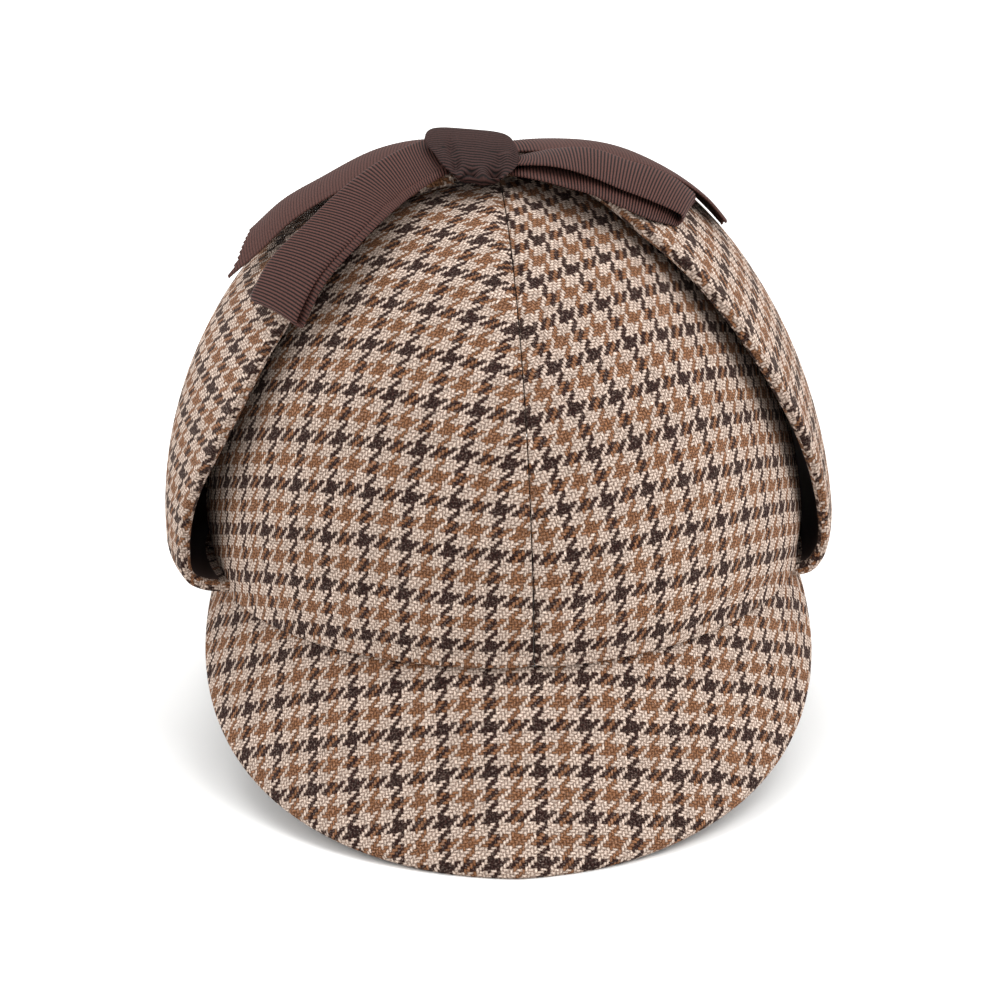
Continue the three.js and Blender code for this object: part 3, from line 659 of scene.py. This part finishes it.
RIBBONS = {
    # Rows from the knot out, each with the far and the near edge and, on a loop, the near edge of the under
    # layer: how far out between knot and ring, the place from back to front, and the lift over the flap's
    # tip, as shares of their lengths. A loop's last number is how far its under layer lies below the upper
    # one at the far edge.
    "ribbon_loop_left": (-1, (
        (-0.05, 0.03, 0.67, -0.072, -0.13, 0.37, -0.077, -0.13, 0.26, 0.15),
        (-0.011, 0.04, 0.83, -0.05, -0.14, 0.39, -0.055, -0.15, 0.3, 0.2),
        (0.144, -0.06, 0.96, 0.079, -0.2, 0.44, 0.067, -0.215, 0.28, 0.25),
        (0.298, -0.15, 0.98, 0.167, -0.265, 0.52, 0.155, -0.285, 0.37, 0.28),
        (0.403, -0.21, 1.0, 0.264, -0.335, 0.6, 0.255, -0.355, 0.44, 0.28),
        (0.518, -0.25, 1.05, 0.38, -0.4, 0.7, 0.372, -0.42, 0.5, 0.28),
        (0.594, -0.3, 1.0, 0.46, -0.47, 0.72, 0.456, -0.48, 0.42, 0.35))),
    "ribbon_loop_right": (1, (
        (-0.035, 0.02, 0.1, -0.036, -0.1, 0.27, -0.036, -0.12, 0.05, 0.02),
        (0.002, 0.0, 0.16, -0.001, -0.12, 0.38, 0.0, -0.145, 0.08, 0.04),
        (0.11, -0.01, 0.51, 0.121, -0.19, 0.83, 0.129, -0.23, 0.42, 0.1),
        (0.224, -0.03, 0.87, 0.217, -0.21, 0.88, 0.226, -0.25, 0.5, 0.14),
        (0.342, -0.04, 0.95, 0.315, -0.22, 0.87, 0.324, -0.262, 0.52, 0.2),
        (0.462, -0.03, 1.12, 0.416, -0.21, 0.9, 0.42, -0.25, 0.5, 0.38),
        (0.551, -0.01, 1.05, 0.507, -0.18, 0.87, 0.505, -0.2, 0.46, 0.55))),
    "ribbon_tail_left": (-1, (
        (-0.045, 0.08, 0.47, -0.055, -0.02, 0.4),
        (-0.003, 0.13, 0.6, -0.003, 0.0, 0.5),
        (0.163, 0.15, 0.72, 0.148, -0.03, 0.52),
        (0.352, 0.13, 0.73, 0.32, -0.06, 0.6),
        (0.484, 0.11, 0.87, 0.465, -0.09, 0.74),
        (0.562, 0.08, 0.91, 0.586, -0.12, 0.8),
        (0.608, 0.06, 0.95, 0.678, -0.14, 1.04))),
    "ribbon_tail_right": (1, (
        (-0.036, 0.12, 0.26, -0.035, 0.02, 0.31),
        (0.002, 0.17, 0.23, 0.002, 0.04, 0.19),
        (0.133, 0.21, 0.36, 0.131, 0.03, 0.34),
        (0.334, 0.22, 0.66, 0.334, 0.03, 0.66),
        (0.497, 0.22, 0.72, 0.493, 0.03, 0.96),
        (0.614, 0.2, 0.7, 0.592, 0.0, 1.12),
        (0.684, 0.17, 0.68, 0.658, -0.03, 1.08))),
}
STOPS = (TUCK, 0, 0.2, 0.4, 0.6, 0.8, 1)  # the rows' shares of a ribbon's length

# Dark brown viscose grosgrain, woven with thick cords across it: it is matt, and its colour has a painted
# highlight on the crests of its cords and nearly black painted shade in the hollows between them. The noise
# changes over about half a millimetre, as bunches of fibres do.
SMOOTHED = 0.8  # between crest and hollow, for where the cords hardly stand up
grosgrain, ribbon_shader = new_material("grosgrain_ribbon")
weave = grosgrain.node_tree
cord = add(weave, "ShaderNodeUVMap", uv_map="cloth")
fibres = add(weave, "ShaderNodeTexNoise", {"Vector": cord, "Scale": 2.2, "Detail": 2.0})
cord = add(weave, "ShaderNodeSeparateXYZ", {0: cord}).node.outputs
rib = add(weave, "ShaderNodeMath", {0: cord[0], 1: math.pi / RIB_PITCH}, operation="MULTIPLY")
rib = add(weave, "ShaderNodeMath", {0: rib}, operation="SINE")
rib = add(weave, "ShaderNodeMath", {0: rib}, operation="ABSOLUTE")
plain = add(weave, "ShaderNodeAttribute", attribute_name="raised").node.outputs["Fac"]
rib = add(weave, "ShaderNodeMix", {0: plain, 2: SMOOTHED, 3: rib})
worn = add(weave, "ShaderNodeMapRange", {"Value": fibres, 1: 0.3, 2: 0.7, 3: -0.18, 4: 0.18})
rib = add(weave, "ShaderNodeMath", {0: rib, 1: worn}, operation="ADD")
# Painted highlight and shade: lighter colour on the cords' crests, nearly black in the hollows between them.
cord_painted_shading = add(weave, "ShaderNodeValToRGB", {0: rib})
cord_painted_shading.node.color_ramp.elements[0].color = linear("#0C0504")
cord_painted_shading.node.color_ramp.elements[0].position = 0.38
cord_painted_shading.node.color_ramp.elements[1].color = linear("#573832")
weave.links.new(cord_painted_shading, ribbon_shader.inputs["Base Color"])
ribbon_shader.inputs["Roughness"].default_value = 0.62
ribbon_shader.inputs["Specular IOR Level"].default_value = 0.12
# The knot's copy of the ribbon has darker crests: painted shade, so that the knot shows darker than the
# loops.
knot_painted_shade_grosgrain = grosgrain.copy()
knot_painted_shade_grosgrain.name = "grosgrain_ribbon_knot_painted_shade"
knot_painted_shade_grosgrain.node_tree.nodes[cord_painted_shading.node.name].color_ramp.elements[1].color = linear("#3C2623")

# The cords of the ribbon: every point of a band moves out or in by where it lies along the ribbon's length.
cords = bpy.data.node_groups.new("ribbon_cords", "GeometryNodeTree")
cords.is_modifier = True
CORD_INPUTS = {}
for kind, title in (("NodeSocketGeometry", "Band"), ("NodeSocketFloat", "Cord pitch"),
                    ("NodeSocketFloat", "Cord height"), ("NodeSocketMaterial", "Ribbon")):
    CORD_INPUTS[title] = cords.interface.new_socket(title, in_out="INPUT", socket_type=kind).identifier
cords.interface.new_socket("Corded band", in_out="OUTPUT", socket_type="NodeSocketGeometry")

given = add(cords, "NodeGroupInput").node.outputs
length = add(cords, "GeometryNodeInputNamedAttribute", {"Name": "along"}, data_type="FLOAT")
length = length.node.outputs["Attribute"]
phase = add(cords, "ShaderNodeMath", {0: length, 1: given["Cord pitch"]}, operation="DIVIDE")
phase = add(cords, "ShaderNodeMath", {0: phase, 1: math.pi}, operation="MULTIPLY")
swell = add(cords, "ShaderNodeMath", {0: phase}, operation="SINE")
swell = add(cords, "ShaderNodeMath", {0: swell}, operation="ABSOLUTE")
swell = add(cords, "ShaderNodeMath", {0: swell, 1: 0.5}, operation="SUBTRACT")
swell = add(cords, "ShaderNodeMath", {0: swell, 1: given["Cord height"]}, operation="MULTIPLY")
raised = add(cords, "GeometryNodeInputNamedAttribute", {"Name": "raised"}, data_type="FLOAT")
raised = raised.node.outputs["Attribute"]
swell = add(cords, "ShaderNodeMath", {0: swell, 1: raised}, operation="MULTIPLY")
lift = add(cords, "GeometryNodeInputNormal")
lift = add(cords, "ShaderNodeVectorMath", {0: lift, "Scale": swell}, operation="SCALE")
moved = add(cords, "GeometryNodeSetPosition", {"Geometry": given["Band"], "Offset": lift})
real = add(cords, "GeometryNodeRealizeInstances", {"Geometry": moved})
dressed = add(cords, "GeometryNodeSetMaterial", {"Geometry": real, "Material": given["Ribbon"]})
add(cords, "NodeGroupOutput", {0: dressed})


def corded(band, along, raised, name, cloth=grosgrain):
    for title, values in (("along", along), ("raised", raised)):
        held = band.data.attributes.new(title, "FLOAT", "POINT")
        held.data.foreach_set("value", values.astype(np.float32).ravel())
    modifier = band.modifiers.new("cords", "NODES")
    modifier.node_group = cords
    modifier[CORD_INPUTS["Cord pitch"]] = RIB_PITCH
    modifier[CORD_INPUTS["Cord height"]] = RIB_HEIGHT * MM
    modifier[CORD_INPUTS["Ribbon"]] = cloth
    seen = band.evaluated_get(bpy.context.evaluated_depsgraph_get())
    finished = bpy.data.meshes.new_from_object(seen)
    band.modifiers.remove(modifier)
    band.data = finished
    finished.shade_smooth()
    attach(band, "root")
    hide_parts(name)


def ribbon_point(rows, side, reach, across, under=0.0):
    """Points of a ribbon: reach is the share of its length, across goes from its near to its far edge, and
    under from the upper layer of a loop to the under one."""
    columns = [through(STOPS, column, reach) for column in zip(*rows)]
    far, near = np.stack(columns[0:3], -1), np.stack(columns[3:6], -1)
    if len(columns) > 6:
        below = np.stack([0 * columns[9], 0 * columns[9], columns[9]], -1)
        far = far - below * under[..., None]
        near = near + (np.stack(columns[6:9], -1) - near) * under[..., None]
    out, y, lift = np.moveaxis(near + (far - near) * across[..., None], -1, 0)
    knot_end = side * BOW_OFFSET + KNOT_LENGTH / 2 + SEAM_GAP
    skin = crown_over(side * (knot_end + (ring_half_width - knot_end) * out), y * ring_half_length)
    lift = TIP_PUFF + FLAP_THICKNESS + (lift + BOW_CROWN * across * (1 - across)) * BOW_HEIGHT - RIBBON_SINK
    return leaned(skin + crown_normal(skin) * lift[..., None])


def pinked(across, width, slanted):
    """How far inside the straight end of a tail the pinking shears cut it, across its width."""
    slant = slanted * np.interp(across, SLANT_ACROSS, SLANT_DEPTHS)
    teeth = np.abs((across * width / TOOTH_PITCH) % 1 * 2 - 1)
    return slant + TOOTH_DEPTH * teeth


for ribbon_name, (side, rows) in RIBBONS.items():
    is_loop = "loop" in ribbon_name
    lengths = np.linspace(TUCK / 2, 1 - TUCK / 2, 1000) if is_loop else np.linspace(TUCK, 1, 560)
    u_grid, v_grid = np.meshgrid(lengths, np.linspace(0, 1, 21 if is_loop else 61))
    across = v_grid if side > 0 else 1 - v_grid
    if is_loop:
        reach = np.minimum(1, np.minimum(u_grid, 1 - u_grid) / (0.5 - TURN_SHARE / 2))
        turn = np.clip((u_grid - 0.5) / TURN_SHARE + 0.5, 0, 1) * math.pi
        skin = ribbon_point(rows, side, reach, across, (1 - np.cos(turn)) / 2)
        top, bottom = (ribbon_point(rows, side, 0 * reach + 1, across, 0 * reach + k) for k in (0, 1))
        before = ribbon_point(rows, side, 0 * reach + 1 - TURN_SHARE, across, 0 * reach)
        outward = (top - before) / np.linalg.norm(top - before, axis=-1, keepdims=True)
        radius = np.linalg.norm(top - bottom, axis=-1) / 2
        skin = skin + outward * (radius * np.sin(turn))[..., None]
    else:
        skin = ribbon_point(rows, side, u_grid, across)
        whole_length = edge_distances(skin)[0][:, -1:]
        width = edge_distances(skin)[2][-1:].mean()
        short = TUCK + (u_grid - TUCK) * (1 - pinked(across, width, side < 0) / whole_length)
        skin = ribbon_point(rows, side, short, across)
    from_knot, _, from_side, _ = edge_distances(skin)
    pressed = TAIL_CORDS + 0 * from_knot
    if is_loop:
        from_knot = np.broadcast_to(from_knot.mean(0), u_grid.shape)
        pressed = 1 + 0 * from_knot
        bow = GATHER * 4 * v_grid * (1 - v_grid) * np.exp(-(from_knot / GATHER_REACH) ** 2)
        from_knot = from_knot - bow
    elif side > 0:
        pressed = TAIL_CORDS + (1 - TAIL_CORDS) * np.exp(-(from_knot / GATHER_REACH) ** 4)
    flat = np.stack([from_knot, from_side], -1)
    band = shell(ribbon_name + "_band", skin, RIBBON_THICKNESS, (0, 0, RIBBON_EDGE, RIBBON_EDGE), grosgrain,
                 flat=flat)
    corded(band, np.concatenate([from_knot, from_knot]), np.concatenate([pressed, pressed]), ribbon_name)

# Knot: the same ribbon wrapped once round the middle of the bow and drawn tight, so that its cords run
# sideways over it. It bunches together towards the front, where it goes under in a hanging fold.
KNOT_DEPTH, KNOT_HEIGHT = 28.0, 9.5
KNOT_SQUARENESS = 2.5  # exponents of its section and of its ends, where 2 is an ellipse
KNOT_END_SQUARENESS = 4.5
KNOT_CORDS_SPREAD = 1.35  # the knot's cords lie this much further apart
KNOT_SINK = 3.4  # its top lies this far under the solid's
KNOT_TILT = math.radians(14)  # down towards the front
KNOT_OUTLINE = (  # pixel rows with the first and last pixel of the knot on them
    (128, 426, 514), (134, 425, 517), (140, 427, 518), (150, 430, 518), (160, 435, 518), (165, 437, 518),
    (172, 441, 514), (178, 446, 507), (186, 455, 498))
KNOT_SLOPE = 0.11  # its top falls this much towards +X
KNOT_CREASES = (  # pixel, reach in pixels across and down, and depth in mm: negative stands proud
    ((451, 148), (4, 9), 1.2), ((456, 163), (4, 9), 1.6), ((444, 158), (5, 12), -0.7),
    ((470, 173), (6, 5), 3.6), ((495, 171), (6, 5), 3.6), ((482, 178), (5, 8), -1.2),
    ((508, 158), (5, 8), -0.6), ((500, 160), (4, 7), 0.9))
KNOT_SMOOTH = (138, 150)  # pixel rows between which its cords begin to show
KNOT_CORDS = (0.3, 1.0)  # the share of their height that they have over and under those rows
KNOT_WOBBLE = 0.25, 0.15  # how far the cords stray, slowly and quickly
ARCH = 3.0  # how far the cords fall at the sides of the knot

around, share = np.meshgrid(np.linspace(0, 2 * math.pi, 561)[:-1], np.linspace(-0.995, 0.995, 75),
                            indexing="ij")


def rounded(value, squareness):
    """A sine or cosine of a circle, made that of a superellipse."""
    return np.sign(value) * np.abs(value) ** (2 / squareness)


knot_low, knot_high = (np.array(corner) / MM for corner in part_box("ribbon_knot"))
girth = (1 - np.abs(share) ** KNOT_END_SQUARENESS) ** (1 / KNOT_END_SQUARENESS)
knot_y = rounded(np.cos(around), KNOT_SQUARENESS) * KNOT_DEPTH / 2
knot_z = rounded(np.sin(around), KNOT_SQUARENESS) * KNOT_HEIGHT / 2
knot_z = np.where(knot_z > 0, knot_z * (1 - KNOT_SINK / KNOT_HEIGHT * 2), knot_z)
middle = (knot_low + knot_high) / 2
ring = np.stack([0 * knot_y, knot_y * math.cos(KNOT_TILT) - knot_z * math.sin(KNOT_TILT),
                 knot_y * math.sin(KNOT_TILT) + knot_z * math.cos(KNOT_TILT)], -1)
row = in_picture(middle + ring)[..., 1]
first, last = (np.interp(row, [r[0] for r in KNOT_OUTLINE], [r[k] for r in KNOT_OUTLINE]) for k in (1, 2))
centre_pixel = in_picture(middle)[0]
knot_x = ((first + last) / 2 - centre_pixel + share * (last - first) / 2) / PIXELS_PER_MM
wrap = middle + ring * girth[..., None] + np.stack([knot_x, 0 * row, -KNOT_SLOPE * knot_x], -1)
square = np.cross(np.roll(wrap, -1, 0) - np.roll(wrap, 1, 0), np.gradient(wrap, axis=1))
square = square / np.maximum(np.linalg.norm(square, axis=-1, keepdims=True), 1e-9)
if (square * (wrap - middle)).sum() < 0:
    square = -square
pixels = in_picture(wrap)
faces_camera = np.clip(-(square @ towards) * 4, 0, 1)
for (px, py), (reach_x, reach_y), depth in KNOT_CREASES:
    near = np.exp(-((pixels[..., 0] - px) / reach_x) ** 2 - ((pixels[..., 1] - py) / reach_y) ** 2)
    wrap = wrap - square * (near * depth * faces_camera)[..., None]
round_it = np.linalg.norm(np.diff(ring, axis=0, append=ring[:1]), axis=-1)
round_it = np.cumsum(round_it, 0)
whole = RIB_PITCH * round(float(round_it[-1].mean()) / RIB_PITCH)
cord_run = round_it / round_it[-1] * whole / KNOT_CORDS_SPREAD
sideways = ARCH * np.abs(share) ** 2.5
cord_run = cord_run - sideways * np.where(np.cos(around) < 0, 1, 0) * np.sin(around / 2) ** 2
cord_run = cord_run + KNOT_WOBBLE[0] * np.sin(5 * share + 2 * around) + KNOT_WOBBLE[1] * np.sin(11 * share)

count, steps = wrap.shape[:2]
index = np.arange(count * steps).reshape(count, steps)
after = np.roll(index, -1, axis=0)
faces = np.stack([index[:, :-1], after[:, :-1], after[:, 1:], index[:, 1:]], -1).reshape(-1, 4).tolist()
faces += [index[:, 0][::-1].tolist(), index[:, -1].tolist()]
knot_mesh = bpy.data.meshes.new("ribbon_knot_wrap")
knot_mesh.from_pydata((wrap.reshape(-1, 3) * MM).tolist(), [], faces)
knot_uv = knot_mesh.uv_layers.new(name="cloth")
along_cord = share * KNOT_LENGTH / 2
for corner in knot_mesh.loops:
    i, k = divmod(corner.vertex_index, steps)
    knot_uv.data[corner.index].uv = (cord_run[i, k], along_cord[i, k])
knot = bpy.data.objects.new("ribbon_knot_wrap", knot_mesh)
scene.collection.objects.link(knot)
# The knot wears the copy of the ribbon darkened as painted shade.
corded(knot, cord_run, np.interp(row, KNOT_SMOOTH, KNOT_CORDS), "ribbon_knot", knot_painted_shade_grosgrain)
